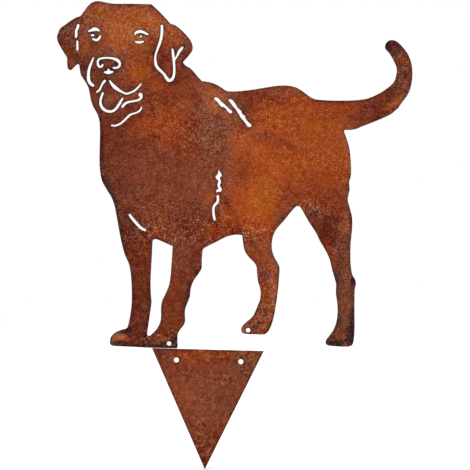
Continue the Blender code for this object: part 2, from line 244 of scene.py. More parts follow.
# Points of a plate's face: its edge, rows that follow the edge, and a honeycomb of the rest
def facePoints(loops, finder, recipe):
    points = [np.concatenate(loops)]
    for inset in recipe["rows"]:
        row = []
        for loop in loops:
            before, after = loop - np.roll(loop, 1, axis=0), np.roll(loop, -1, axis=0) - loop
            along = before / np.hypot(*before.T)[:, None] + after / np.hypot(*after.T)[:, None]
            inward = np.stack([-along[:, 1], along[:, 0]], 1) / np.hypot(*along.T)[:, None]
            row.append(loop + inward * inset)
        row = np.concatenate(row)
        keep = finder.distances(row) > recipe["rowClearance"] * inset
        points.append(row[keep & insideLoops(row, loops)])
    step = recipe["gridStep"]
    low, high = points[0].min(0), points[0].max(0)
    rise = step * math.sqrt(3) / 2
    shake = np.random.default_rng(recipe["seed"])
    grid = []
    for k, z in enumerate(np.arange(low[1], high[1], rise)):
        x = np.arange(low[0] + (k % 2) * step / 2, high[0], step)
        grid.append(np.stack([x, np.full_like(x, z)], 1))
    grid = np.concatenate(grid)
    grid = grid + shake.uniform(-recipe["shake"], recipe["shake"], grid.shape) * step
    grid = grid[insideLoops(grid, loops)]
    clear = recipe["rows"][-1] + step * recipe["gridClearance"]
    points.append(grid[finder.distances(grid) > clear])
    return np.concatenate(points)


pointsAtOnce = 2000


def insideLoops(points, loops):
    starts, ends = np.concatenate(loops), loopEnds(loops)
    order = np.argsort(points[:, 1])
    inside = np.zeros(len(points), bool)
    for chunk in np.array_split(order, max(1, len(points) // pointsAtOnce)):
        x, z = points[chunk].T
        near = np.maximum(starts[:, 1], ends[:, 1]) > z.min()
        near &= np.minimum(starts[:, 1], ends[:, 1]) <= z.max()
        a, b = starts[near], ends[near]
        spans = (a[:, 1] > z[:, None]) != (b[:, 1] > z[:, None])
        rise = np.where(b[:, 1] == a[:, 1], 1.0, b[:, 1] - a[:, 1])
        crossing = a[:, 0] + (z[:, None] - a[:, 1]) / rise * (b[:, 0] - a[:, 0])
        inside[chunk] = (spans & (crossing > x[:, None])).sum(1) % 2 == 1
    return inside


def smoothStep(low, high, value):
    t = np.clip((value - low) / (high - low), 0, 1)
    return t * t * (3 - 2 * t)


def noiseAt(points, size, shift):
    return np.array([noise.noise((x / size + shift, z / size - shift, shift)) for x, z in points])


# Rust scale and pits, as a depth in millimetres under the sheet's face
scaleRelief = {
    "flakeSize": 7.0,
    "flakeDepth": 0.045,
    "flakeStep": (-0.1, 0.2),  # of the noise, from the hollow to the top of a flake
    "smallFlake": 0.5,  # strength of the flakes that are smallerBy times as small
    "smallerBy": 2.3,
    "pitSize": 2.6,
    "pitDepth": 0.055,
    "pitStep": (0.25, 0.6),
    "pitShift": 9,
    "calmRim": 1.2,  # the relief grows from nothing at the cut edge to all of it here
    "cornerRadius": 0.22,  # of the cut edges
    "shift": {"front": 3.3, "back": 31.7},
}


def reliefDepth(points, edgeDistance, side):
    relief = scaleRelief
    shift = relief["shift"][side]
    flakes = noiseAt(points, relief["flakeSize"], shift)
    flakes += relief["smallFlake"] * noiseAt(points, relief["flakeSize"] / relief["smallerBy"], shift)
    pits = noiseAt(points, relief["pitSize"], shift + relief["pitShift"])
    depth = relief["flakeDepth"] * (1 - smoothStep(*relief["flakeStep"], flakes))
    depth += relief["pitDepth"] * smoothStep(*relief["pitStep"], pits)
    depth *= smoothStep(0, relief["calmRim"], edgeDistance)
    radius = relief["cornerRadius"]
    into = radius - np.clip(edgeDistance, 0, radius)
    return depth + radius - np.sqrt(radius ** 2 - into ** 2)


# Patches of the rust: x to the right and y down from the plate's patchCorner, half
# length and half width in millimetres, strength in percent, and a tilt in degrees where it has one.
# Glow is fresh orange, the dark list is dark scale with a few painted shadows among it, ash dusty, coarse
# crumbly and ochre golden
dogPatches = {
    "glow": [
        (128, 26, 41, 21, 46), (120, 31, 13, 15, 32), (151, 20, 13, 9, 36, -10), (118, 9, 34, 7, 16),
        (118, 47, 12, 7, 22), (114, 93, 5, 6, 25), (96, 77, 4, 4, 25), (140, 67, 15, 19, 32),
        (137, 75, 9, 7, 42), (173, 35, 10, 13, 38), (157, 84, 9, 6, 38, 20), (86, 47, 6, 6, 25),
        (163, 124, 27, 14, 44, 12), (181, 106, 12, 8, 24, 15), (173, 142, 19, 8, 16),
        (213, 101, 10, 12, 58), (206, 86, 11, 6, 22, -30), (302, 146, 64, 47, 66),
        (264, 186, 19, 52, 72, -4), (242, 204, 16, 18, 52), (243, 142, 12, 11, 46, 20),
        (341, 134, 14, 18, 14), (266, 112, 18, 7, 34), (300, 102, 26, 9, 20), (229, 214, 7, 12, 30),
        (206, 197, 5, 9, 25), (346, 225, 5, 14, 30), (268, 290, 15, 48, 28, 5),
        (257, 240, 12, 12, 12, -20), (303, 203, 16, 8, 12), (234, 176, 9, 25, 36), (244, 223, 8, 8, 30),
        (394, 103, 10, 5, 46, 45), (354, 106, 12, 6, 14), (87, 43, 3, 6, 20), (165, 22, 5, 2, 30, -45),
        (169.5, 67, 1.8, 6, 35), (131, 96, 6, 2, 40, 10), (96, 97, 2, 5, 25), (164, 147, 5, 4, 12),
        (152, 230, 9, 4, 22), (211, 197, 2.5, 6, 42), (226, 215, 3.5, 4, 30), (256, 131, 6, 2, 20, -10),
        (344.5, 228, 2.8, 5, 50), (121, 337, 7, 2.6, 62, -8), (160, 338, 5, 3, 22), (171, 284, 2, 5, 20),
        (165, 302, 3, 8, 12), (247, 248, 2, 6, 22, -60), (263, 306, 4, 2.5, 20), (262, 330, 6, 2, 25),
        (328, 246, 2, 7, 32, 25), (347, 273, 2, 5, 15), (347, 284, 2.5, 4, 22), (341, 336, 6, 3, 45, -10),
        (402, 54, 2.2, 6, 32), (398, 57, 1.5, 3, 20, 30), (406, 83, 2, 4, 22, -20),
        (395, 102, 7, 3, 35, 52), (338, 108, 16, 1.6, 22), (142, 103, 3, 3, 15), (285, 97, 8, 3, 16),
        (219, 110, 6, 3, 25, -35), (345, 236, 3, 8, 12), (335, 207, 8, 5, 16), (244, 328, 2, 4, 22),
        (274, 285, 2.5, 14, 18, 3), (258, 328, 8, 4, 15), (112, 334, 3, 3, 20), (150, 18, 10, 9, 14),
        (105, 16, 6, 6, 12), (170, 66, 8, 8, 20), (258, 96, 44, 9, 17), (228, 108, 14, 9, 16),
        (285, 87, 10, 3, 22), (340, 130, 9, 10, 12), (225, 186, 6, 8, 12), (274, 211, 14, 8, 14),
        (331, 209, 8, 7, 12), (224, 228, 14, 9, 16), (335, 264, 5, 8, 12), (256, 317, 12, 8, 15),
        (97, 13, 5, 4, 14), (106, 14, 4, 4, 12), (128, 22, 5, 4, 12), (146, 27, 4, 4, 12),
        (158, 24, 3, 4, 16), (135, 50, 5, 5, 16), (140, 71, 6, 5, 16), (70, 50, 4, 5, 14),
        (108, 64, 5, 2.4, 24), (111, 99, 3, 3, 20), (151, 102, 4, 5, 16), (154, 120, 4, 4, 16),
        (213, 91, 7, 3, 22, 25), (222, 112, 7, 4, 22, -30), (216, 138, 6, 6, 14), (239, 160, 8, 9, 28),
        (248, 99, 4, 6, 16), (277, 110, 4, 4, 18), (283, 89, 7, 2.5, 18), (311, 121, 6, 6, 16),
        (109, 168, 4, 5, 16), (186, 170, 7, 6, 10), (265, 186, 7, 7, 14), (264, 205, 9, 9, 18),
        (315, 199, 4, 3, 20), (213, 230, 4, 5, 20), (250, 252, 3, 6, 30, 30), (265, 294, 4, 6, 26),
        (350, 307, 2.5, 6, 30), (321, 230, 3, 4, 24), (103, 138, 3, 6, 14), (341, 128, 5, 4, 12),
        (150, 342, 5, 2.5, 20), (125, 340, 6, 3, 18), (342, 228, 3, 8, 10), (333, 262, 2, 8, 20, 20),
        (270, 262, 3, 9, 16), (272, 284, 2, 12, 16), (252, 335, 8, 2, 20), (246, 255, 2, 6, 20, 30),
        (157, 24, 4, 4, 14), (212, 93, 6, 3, 12, 25), (283, 90, 8, 2.5, 10), (313, 103, 6, 3, 12),
        (360, 104, 5, 3, 10), (197, 97, 6, 4, 8, 30), (172, 93, 8, 8, 6), (234, 127, 6, 5, 12, -30),
        (226, 200, 4, 7, 10), (215, 231, 5, 6, 12), (235, 222, 8, 5, 8), (322, 125, 8, 6, 7),
        (320, 230, 4, 6, 10), (333, 210, 5, 4, 10), (249, 252, 3, 6, 14, 30), (146, 242, 4, 6, 12),
        (102, 137, 2.5, 7, 14), (84, 72, 3, 5, 14), (211, 93, 5, 2.5, 26, 20), (277, 110, 5, 4, 20),
        (244, 220, 6, 5, 16), (321, 125, 6, 5, 12), (156, 23, 4, 5, 28), (144, 26, 4, 4, 16),
        (218, 108, 4, 3, 14), (275, 125, 5, 3, 22), (237, 199, 5, 8, 16), (132, 21, 4, 4, 12),
        (229, 116, 4, 4, 18), (313, 122, 5, 4, 10),
    ],
    "sootAndShadow": [
        (67, 38, 13, 22, 18), (95, 34, 8, 9, 31), (98, 68, 18, 11, 30), (85, 25, 7, 6, 11),
        (86, 72, 6, 9, 14), (103, 100, 15, 22, 24, -20), (185, 60, 6, 12, 14), (154, 46, 5, 7, 18),
        (130, 109, 10, 8, 12), (103, 174, 7, 38, 25), (112, 132, 14, 16, 14), (110, 190, 8, 20, 19, -60),
        (120, 190, 20, 45, 7), (112, 207, 7, 12, 28), (124, 230, 10, 24, 26, -15), (139, 290, 14, 62, 23),
        (146, 334, 16, 10, 21), (160, 346, 30, 5, 25), (177, 337, 6, 10, 28), (190, 270, 8, 50, 11, 8),
        (186, 298, 6, 20, 16, 8), (190, 220, 17, 19, 10), (277, 141, 20, 6, 20, -20),
        (262, 134, 9, 6, 10), (243, 113, 9, 9, 11), (260, 95, 24, 6, 15, 3), (242, 104, 12, 12, 12),
        (218, 138, 13, 24, 11), (231, 166, 8, 18, 14), (247, 170, 11, 17, 20), (322, 226, 9, 18, 26, -30),
        (339, 285, 14, 62, 18), (236, 237, 7, 6, 16), (342, 328, 12, 14, 26), (340, 345, 14, 7, 31),
        (335, 275, 5, 7, 19), (266, 275, 7, 5, 18), (373, 111, 16, 9, 18, 20), (357, 120, 8, 8, 14),
        (386, 96, 6, 5, 12, 40), (398, 80, 10, 18, 19, -10), (395, 48, 12, 10, 41), (312, 184, 9, 9, 7),
        (135, 4.2, 22, 1.5, 34), (151, 5, 3.5, 1.8, 50, -20), (97, 2.6, 9, 1.4, 22),
        (69.5, 38, 2.2, 1.6, 35), (70, 45, 1.8, 3.5, 28), (77, 60, 5, 5, 28), (83, 68, 3, 8, 26),
        (112, 49, 4, 2.5, 20), (124, 54, 4, 4, 20), (117, 63, 2.2, 2.6, 70), (101.5, 61.5, 2.4, 2, 60),
        (105.5, 68.6, 1.6, 1.4, 60), (111.5, 69, 1.6, 1.4, 50), (96.5, 36, 3, 2.6, 40),
        (141.5, 33.6, 3, 1.3, 50, -10), (163, 62, 4, 9, 24, 8), (171, 74, 1.5, 3, 40),
        (184.5, 52, 4, 7, 18), (175, 51, 2, 3, 40), (155, 69.5, 2.6, 3, 36), (174, 82, 3.5, 3, 26),
        (88.5, 84.2, 3.2, 1.8, 90, -50), (150, 101, 4, 2.5, 18), (101.4, 150, 36, 2.2, 42, 90),
        (105, 176, 9, 3, 30, -72), (109, 188, 11, 3, 40, -60), (116.4, 208, 12, 2.4, 34, -77),
        (121, 232, 14, 2.4, 34, -79), (140, 142, 13, 4, 10), (186, 222, 8, 6, 12),
        (211.5, 100.5, 1.5, 1.4, 45), (203, 101.5, 2.2, 1.6, 26), (246, 112, 9, 2.8, 26, -58),
        # The two marks at 226, 201 and 233, 209 on the next line are a painted brown shadow on the flank
        (238, 117, 7, 1.6, 26, -48), (226, 201, 5, 2.6, 16, -75), (233, 209, 7, 1.8, 16, -48),
        (262, 135, 10, 2.4, 17, -8), (280, 141, 11, 3, 22, -14), (296, 147.5, 6, 2, 12, -25),
        (306, 150, 2.6, 1.2, 26), (298, 151, 2, 1.3, 26), (317, 150, 3, 1, 20), (259, 108.5, 1.5, 2, 42),
        (278, 101, 10, 4, 16), (283.5, 195, 2.2, 2, 36), (328, 229, 8, 11, 24, -15),
        (348, 236.5, 2.6, 2.6, 46), (350.6, 225, 14, 1.3, 34, 90), (148.6, 302, 26, 1.9, 26, 88),
        (132.6, 292, 30, 1.6, 24, 90), (125.5, 330, 7, 2.8, 92, 20), (121, 342.4, 11, 2.2, 90, -3),
        (144.6, 339, 4, 2, 55, 90), (131, 333, 3, 2.4, 40, 60), (175, 341, 6, 2.6, 90, 90),
        (164.4, 343.6, 3, 1.8, 70), (150, 346.2, 28, 1.5, 75, -3), (188, 292, 14, 1.6, 32, 76),
        (197, 272, 3, 2.2, 50, 45), (252, 243, 9, 3, 26, -45), (261, 270, 3, 11, 20),
        (259, 274, 1.8, 9, 24), (264, 312, 3.4, 4.4, 42, 10), (253, 325, 1.8, 2.2, 85),
        (258.4, 322.8, 4, 1.3, 85, 12), (257.6, 327.4, 4, 1.2, 75, 8), (270, 325, 6, 1.5, 36, 62),
        (333, 240, 3, 4, 26), (340, 270, 12, 2.4, 34, 90), (337.4, 284, 6, 1.4, 46, 90),
        (353.2, 281, 5, 2.4, 90, 90), (351.4, 298, 9, 1.6, 30, 90), (352, 322, 17, 2.4, 92, 90),
        (335, 343.4, 9, 2.6, 95), (349, 340, 4, 5, 85), (387.5, 45, 3.4, 4.6, 95),
        (396, 42, 8, 1.5, 50, -22), (394, 50, 5, 3, 20), (391.5, 56.5, 7, 1.6, 40, -60),
        (405, 51.5, 9, 2.2, 60, -56), (405.4, 75, 2, 4, 42), (397, 85, 3, 2, 40, 45),
        (391.4, 94, 2, 1.5, 40), (388, 97, 5, 5, 18), (371, 104, 9, 3, 18, 8),
        (377, 117.6, 10, 1.6, 34, 27), (345, 115, 13, 1.2, 26, -6), (333, 118.5, 2.6, 1.4, 36, -45),
        (335, 112.6, 12, 1, 20), (340, 101.2, 24, 1.2, 30), (268, 136, 5, 2, 14),
        (285, 215, 10, 1.6, 26, 40), (252, 234, 8, 1.2, 20), (402, 64, 2, 3, 26),
        (409, 78, 10, 1.6, 24, 88), (343, 262, 2, 5, 20), (166, 132, 3, 2, 20), (122, 6, 10, 4, 12),
        (268, 162, 16, 22, 10), (145, 144, 9, 7, 10), (310, 216, 8, 5, 9), (174, 304, 6, 8, 10),
        (61, 34, 4, 6, 14), (90, 36, 4, 5, 12), (110, 31, 4, 3, 12), (106, 49, 5, 4, 16),
        (124, 12, 4, 3, 10), (146, 79, 5, 3, 20, -20), (106, 91, 4, 4, 16), (201, 106, 8, 5, 14),
        (245, 129, 5, 4, 12), (259, 140, 6, 5, 12), (283, 184, 7, 10, 14), (270, 163, 6, 6, 8),
        (315, 171, 6, 6, 12), (298, 134, 6, 6, 10), (347, 218, 3, 8, 18), (344, 242, 3, 6, 18),
        (396, 82, 4, 4, 18), (390, 99, 6, 4, 12, 40), (131, 191, 9, 4, 10, 15), (148, 225, 8, 5, 14, -30),
        (313, 209, 5, 7, 14), (261, 247, 3, 6, 14), (170, 307, 5, 8, 10), (266, 270, 4, 5, 14),
        # The marks at 226, 202 and 234, 212 on the next line add to the same painted shadow on the flank
        (226, 202, 6, 2.4, 16, -70), (234, 212, 7, 2, 16, -50), (325, 108, 7, 4, 12),
        (369, 113, 4, 4, 12), (347, 286, 4, 6, 12), (399, 82, 5, 4, 16), (268, 271, 6, 5, 16),
        (251, 231, 6, 4, 16), (347, 237, 3, 9, 18), (336, 230, 3, 5, 14), (316, 213, 5, 7, 10),
        (108, 93, 5, 4, 10), (231, 152, 5, 5, 8), (250, 132, 5, 4, 8), (283, 125, 9, 4, 8, 20),
        (268, 127, 5, 4, 8), (198, 220, 6, 5, 8), (155, 229, 5, 5, 8), (150, 208, 10, 6, 6),
        (165, 188, 6, 5, 5), (261, 317, 4, 4, 12), (147, 341, 4, 3, 12), (395, 60, 4, 5, 8),
        (60, 30, 3, 6, 10), (187, 42, 3, 6, 10), (110, 32, 6, 4, 8), (125, 13, 5, 4, 8),
        (145, 339, 3, 4, 35), (349, 332, 2.5, 5, 30), (330, 340, 4, 2.5, 35), (347, 341, 4, 2.5, 40),
        (126, 331, 3, 2, 25, 30), (144, 328, 2, 5, 22), (405, 72, 1.6, 4, 22), (174, 342, 2, 3, 22),
    ],
    "ash": [
        (122, 24, 52, 24, 37), (138, 36, 9, 8, 38), (94, 36, 7, 6, 30), (104, 5, 9, 5, 18),
        (146, 6, 7, 5, 20), (160, 24, 9, 6, 30), (112, 57, 14, 14, 20), (105, 80, 26, 34, 20),
        (71, 32, 14, 16, 18), (107, 101, 6, 6, 38), (136, 95, 6, 5, 22), (183, 52, 8, 20, 18),
        (198, 82, 10, 9, 24), (217, 120, 20, 38, 50), (221, 100, 14, 11, 42, -30), (236, 115, 9, 9, 24),
        (184, 104, 8, 6, 18), (214, 178, 22, 27, 20), (228, 176, 8, 16, 12), (155, 190, 60, 44, 21),
        (180, 248, 13, 16, 28), (276, 283, 7, 36, 42, 3), (262, 262, 14, 32, 20), (270, 302, 9, 16, 28),
        (243, 325, 6, 7, 85), (257, 319, 16, 11, 34), (346, 290, 10, 52, 35), (350, 138, 6, 14, 50),
        (350, 168, 5, 13, 30), (348, 200, 6, 18, 20), (349, 226, 6, 8, 35), (303, 208, 18, 7, 24),
        (282, 218, 7, 10, 22), (245, 245, 6, 9, 10), (249, 126, 12, 10, 18), (336, 338, 12, 10, 20),
        (320, 215, 14, 9, 12), (112, 334, 8, 8, 92), (160, 340, 22, 8, 18), (403, 78, 9, 33, 32, 5),
        (405, 101, 7, 7, 34), (285, 92, 24, 5, 14), (143, 13, 2, 2, 28), (69, 42, 3, 4, 20),
        (127, 25, 2, 4, 24), (95.5, 33.4, 3, 1.4, 60), (137, 36, 2.6, 2, 40), (180, 43, 3, 2, 30),
        (172, 30, 2, 3, 30), (165, 22, 5, 1.6, 30, -45), (156.5, 71, 1.4, 1.2, 80), (84, 75, 2, 4, 30),
        (107.5, 100, 2.3, 2.8, 80), (114, 96, 4, 4, 15), (137, 107.5, 1.6, 1.6, 30), (113, 115, 2, 2, 20),
        (164, 147, 5, 4, 16), (213, 104.8, 3.4, 1.8, 50, -30), (218, 108, 4, 1.6, 40, -35),
        (256, 131, 6, 1.8, 34, -10), (282, 126.5, 4.5, 1.8, 32, -40), (262, 104, 2.6, 2, 42),
        (287, 193, 1.3, 2.4, 50), (275, 188, 2, 2, 30), (348.6, 225, 1.6, 2.8, 95),
        (119, 336, 7, 2.6, 66, -8), (139, 338, 3.5, 1, 36, 60), (165, 343.4, 2.4, 1.4, 40),
        (185, 242, 1.5, 1.5, 60), (185.5, 251.5, 2.6, 1.2, 50), (247, 248, 5, 1.6, 30, -60),
        (274.5, 284, 13, 2, 26, 85), (263, 306, 4, 2.4, 50), (256.5, 315.5, 4, 1.4, 46, 55),
        (256.6, 325, 1.8, 1.1, 60), (243.6, 328, 4, 1.7, 70, 60), (337, 246, 5, 1.5, 50, 90),
        (344, 248, 5, 2, 20, 90), (347, 273, 5, 1.8, 40, 90), (347, 284, 4, 2.4, 26, 90),
        (350.6, 338.6, 1.4, 1.6, 60), (396, 42.6, 7, 1.3, 24, -22), (394, 50, 5, 3, 20),
        (398, 57.4, 3, 1.2, 50, 50), (403, 68, 2.8, 1.6, 90, 10), (401.6, 77, 2, 3, 46),
        (406, 83, 4, 2, 46, 70), (394.6, 84, 3, 2, 95, 45), (398.8, 72, 4, 1, 60, 88),
        (395, 102.6, 6, 2.4, 25, 52), (367, 114.5, 3, 3, 26), (206, 138, 5, 4, 16), (124, 172, 8, 3, 12),
        (334, 250, 2, 3, 36), (345, 320, 3, 12, 16), (298, 149, 3, 2, 26), (310, 216, 5, 3, 16),
        (224, 100, 2, 4, 24, 45), (122, 124, 3, 2, 10), (148, 12, 6, 4, 10), (75, 65, 7, 6, 20),
        (222, 97, 9, 12, 24), (341, 130, 8, 10, 20), (246, 145, 7, 6, 16), (355, 303, 4, 8, 14),
        (118, 334, 4, 2, 50, -15), (341, 229, 3, 9, 30), (125, 30, 40, 18, 5), (222, 108, 9, 6, 16),
    ],
    "coarse": [
        (128, 3, 34, 5, 50), (92, 22, 14, 14, 35), (62, 34, 8, 14, 60), (72, 60, 8, 10, 40),
        (180, 46, 12, 18, 45), (153, 44, 6, 12, 30), (158, 110, 16, 16, 30), (172, 132, 24, 14, 45),
        (205, 132, 22, 26, 60), (240, 125, 12, 14, 50), (272, 124, 18, 12, 55, -10),
        (282, 96, 26, 10, 45), (160, 205, 48, 12, 40), (190, 231, 66, 13, 80), (140, 240, 16, 14, 60),
        (180, 252, 14, 14, 20), (222, 206, 8, 16, 45), (255, 232, 16, 12, 70), (283, 196, 12, 6, 50),
        (316, 206, 26, 11, 62, -10), (342, 236, 10, 22, 35), (268, 290, 11, 30, 55, 4),
        (256, 322, 15, 12, 75), (160, 339, 24, 7, 80), (344, 275, 10, 26, 28), (340, 340, 14, 8, 60),
        (400, 72, 13, 26, 38), (372, 112, 16, 7, 15, 20), (300, 154, 26, 8, 30), (150, 101, 12, 8, 40),
        (100, 170, 12, 12, 25), (340, 170, 12, 20, 20), (120, 28, 46, 22, 28), (132, 62, 26, 14, 20),
        (262, 306, 8, 14, 20),
    ],
    "ochre": [
        (118, 34, 48, 26, 30), (101, 14, 15, 8, 55), (142, 24, 14, 14, 55), (134, 46, 9, 9, 50),
        (139, 72, 8, 7, 50), (69, 52, 4, 8, 80, 20), (96, 45, 6, 4, 30), (150, 103, 6, 7, 40),
        (176, 90, 6, 8, 40), (192, 125, 5, 6, 50), (216, 138, 10, 10, 45), (211, 91, 9, 4, 45, 20),
        (232, 118, 10, 8, 40, -40), (239, 152, 11, 12, 45), (262, 187, 16, 9, 65), (264, 207, 14, 12, 60),
        (248, 98, 6, 8, 40), (277, 110, 6, 6, 70), (308, 102, 6, 4, 45), (315, 124, 12, 8, 60),
        (337, 133, 5, 6, 50), (310, 157, 6, 6, 60), (332, 176, 9, 18, 40), (345, 186, 4, 10, 50),
        (315, 196, 6, 5, 75), (333, 212, 6, 7, 60), (322, 230, 4, 6, 60), (110, 170, 6, 10, 50),
        (130, 208, 5, 6, 50), (155, 213, 12, 10, 35), (188, 230, 34, 10, 35), (206, 231, 10, 6, 50),
        (138, 250, 10, 12, 75), (140, 293, 7, 10, 50), (124, 339, 10, 6, 95), (139, 326, 6, 8, 60),
        (153, 342, 12, 4, 85), (171, 326, 7, 8, 60), (196, 268, 4, 6, 50), (265, 296, 5, 6, 70),
        (256, 331, 10, 3, 60), (341, 260, 5, 12, 40), (343, 305, 4, 14, 50), (340, 336, 9, 6, 50),
        (404, 60, 4, 12, 40), (400, 92, 6, 5, 30, 45), (250, 246, 4, 6, 50, 30),
    ],
}
spikePatches = {
    "glow": [
        (202, 357, 30, 8, 16), (192, 398, 14, 12, 10), (188, 362, 8, 5, 24), (174, 369, 2.4, 1.6, 20),
        (208, 354, 30, 4, 12, -1), (175, 390, 3, 8, 16), (210, 445, 8, 8, 12), (246, 355, 8, 4, 12),
    ],
    "sootAndShadow": [
        (244, 367, 12, 12, 16), (226, 392, 14, 24, 7), (206, 446, 10, 14, 9), (158, 358, 9, 7, 19),
        (190.5, 378.5, 1.4, 1.4, 30), (229.6, 381.6, 1.4, 1.2, 30), (218, 401, 3, 1.6, 20),
        (206, 446, 3, 5, 20), (217, 438, 7, 2.4, 18, 60), (245, 371, 4, 3, 10), (165, 357, 2, 5, 14),
        (226, 408, 5, 7, 10), (186, 366, 2, 3, 14), (205, 463, 3, 4, 26), (213, 381, 3, 1.2, 12),
        # The small marks from 194, 378 to 232, 356 sit just below and right of the crumbs: painted
        # shadows of them
        (194, 378, 2, 1, 30, 50), (216, 378.5, 2, 1, 30, 50), (231, 380, 2, 1, 30, 50),
        (218, 398.5, 2, 1, 30, 50), (199, 426, 2, 1, 30, 40), (204, 354, 2, 1.2, 30, 40),
        (232, 356, 2, 1.2, 30, 30), (210, 446, 2, 1.6, 30), (168, 362, 2, 3, 22), (199, 440, 2, 1.2, 26),
    ],
    "ash": [
        (251, 362, 14, 9, 64), (238, 372, 12, 10, 22), (207, 410, 36, 36, 32), (168, 371, 7, 11, 16),
        (206, 447, 10, 12, 12), (165, 357, 2, 6, 26), (196, 354.4, 4, 1.8, 40, -25), (207, 357, 3, 3, 30),
        (236, 355.4, 4, 1.8, 40, 20), (244, 355, 1.2, 3, 40), (252, 364, 5, 7, 22),
        (227, 379.4, 1.8, 1.6, 46), (187.6, 375, 1.8, 1.6, 46), (214, 377, 3.4, 1.5, 46, 30),
        (196, 398, 3, 2, 34), (215, 397, 2, 2, 34), (226, 408, 5, 7, 20), (198, 423, 4, 2, 30, 30),
        (198, 435, 2.2, 1.6, 46), (204, 436, 4, 5, 20), (209, 451, 2, 2, 46), (208, 437, 1.6, 1.8, 40),
        (240, 398, 3, 4, 10), (205, 456, 2, 2, 30), (183, 373, 3, 2, 20), (207, 372, 60, 26, 16),
        (232, 380, 14, 12, 10),
    ],
    "coarse": [
        (215, 356, 46, 6, 70, -1), (246, 366, 12, 10, 70), (206, 440, 14, 20, 80), (190, 377, 10, 5, 50),
        (222, 380, 16, 5, 55), (206, 400, 16, 6, 30), (196, 423, 8, 5, 40), (205, 460, 8, 10, 70),
    ],
    "ochre": [
        (205, 356, 40, 5, 40), (246, 364, 12, 8, 50), (205, 440, 12, 18, 40), (228, 385, 8, 14, 30),
    ],
}
# Crumbs that stand out on the spike, dusty and half as strongly orange
spikeCrumbs = [
    (192, 376, 2.2, 1, 45, 50), (188, 373, 2, 1, 36, 50), (213, 377, 2.4, 1, 45, 40),
    (228, 378, 2.4, 1, 54, 50), (216, 396, 2.4, 1, 45, 45), (197, 424, 2.4, 1, 45, 40),
    (196, 434, 2, 1.6, 54, 40), (203, 437, 2, 1.2, 36, 30), (201, 352, 2.4, 1.4, 45, 40),
    (220, 354, 2.4, 1.2, 36, 50), (229, 353, 2.4, 1.4, 45, 30), (240, 356, 2.4, 1.4, 45, 40),
    (186, 355, 3, 1.2, 27, 30), (206, 383, 2, 1, 27, 50), (182, 397, 2, 1, 27, 50),
    (200, 410, 2, 1, 27, 40), (222, 411, 2, 1, 27, 40), (212, 430, 2, 1, 36, 40),
    (207, 452, 1.6, 1.4, 54), (202, 446, 2, 1.2, 36, 30),
]
spikePatches["ash"] += spikeCrumbs
spikePatches["glow"] += [
    (x, y, halfLength, halfWidth, math.ceil(percent / 2), *tilt)
    for x, y, halfLength, halfWidth, percent, *tilt in spikeCrumbs]

raggedBorder = {
    "waves": ((13.0, 9.0, 0), (4.5, 3.0, 2)),  # size and reach in millimetres, and shift
    "upShift": 5,  # from the noise that moves a border sideways to the one that moves it up
    "stiffBelow": 14.0,  # mm; the smaller a patch is than this, the more it keeps its shape
    "falloff": 0.7,
}


# How strongly a list of patches covers each point, with ragged borders
def patchField(points, patches, corner, shift):
    warp = 0.0
    for size, reach, step in raggedBorder["waves"]:
        sideways = noiseAt(points, size, shift + step)
        upwards = noiseAt(points, size, shift + step + raggedBorder["upShift"])
        warp = warp + np.stack([sideways, upwards], 1) * reach
    clear = np.ones(len(points))
    for x, y, halfLength, halfWidth, percent, *tilt in patches:
        turn = math.radians(sum(tilt))
        loose = min(1.0, min(halfLength, halfWidth) / raggedBorder["stiffBelow"])
        off = points + warp * loose - (corner[0] + x, corner[1] - y)
        u = (off[:, 0] * math.cos(turn) + off[:, 1] * math.sin(turn)) / halfLength
        v = (-off[:, 0] * math.sin(turn) + off[:, 1] * math.cos(turn)) / halfWidth
        clear *= 1 - percent / 100 * np.exp(-raggedBorder["falloff"] * (u * u + v * v) ** 2)
    return 1 - clear


# The face's triangles, its points and the edges of its rim
def cutSheet(loops, points, tolerance):
    rim = []
    for loop in loops:
        first = len(rim)
        rim += [(first + i, first + (i + 1) % len(loop)) for i in range(len(loop))]
    placed, _, faces, sources, _, _ = geometry.delaunay_2d_cdt(
        [Vector(p) for p in points], rim, [], 0, tolerance)
    newIndex = {source: i for i, found in enumerate(sources) for source in found}
    middles = np.array(placed)[np.array(faces)].mean(1)
    faces = [face for face, steel in zip(faces, insideLoops(middles, loops)) if steel]
    used = sorted({i for face in faces for i in face})
    compact = {old: i for i, old in enumerate(used)}
    placed = np.array([placed[i] for i in used])
    faces = [[compact[i] for i in face] for face in faces]
    rim = [(compact[newIndex[a]], compact[newIndex[b]]) for a, b in rim]
    return placed, faces, rim


# What the rust needs to know at each point: nearness of a cut edge, cover of the patches, and side
def paintFields(mesh, placed, edgeDistance, patches, recipe):
    count, extra = len(placed), len(mesh.vertices) - 2 * len(placed)
    width = recipe["rimWidth"]
    near, far = recipe["rimShares"]
    # rim: darker towards every cut edge, partly heat tint and partly painted shadow
    fields = {"rim": near * np.exp(-(edgeDistance / width) ** 2)}
    fields["rim"] += far * np.exp(-edgeDistance / width / recipe["rimTail"])
    for kind, spots in patches.items():
        shift = recipe["patchShift"] + len(fields)
        fields[kind] = patchField(placed, spots, recipe["patchCorner"], shift)
    for kind, values in fields.items():
        behind = values if kind == "rim" else values * recipe["backStrength"]
        whole = np.concatenate([values, behind, np.ones(extra) * (kind == "rim")])
        mesh.attributes.new(kind, "FLOAT", "POINT").data.foreach_set("value", whole)
    side = np.concatenate([np.zeros(count), np.ones(count + extra)])
    mesh.attributes.new("side", "FLOAT", "POINT").data.foreach_set("value", side)


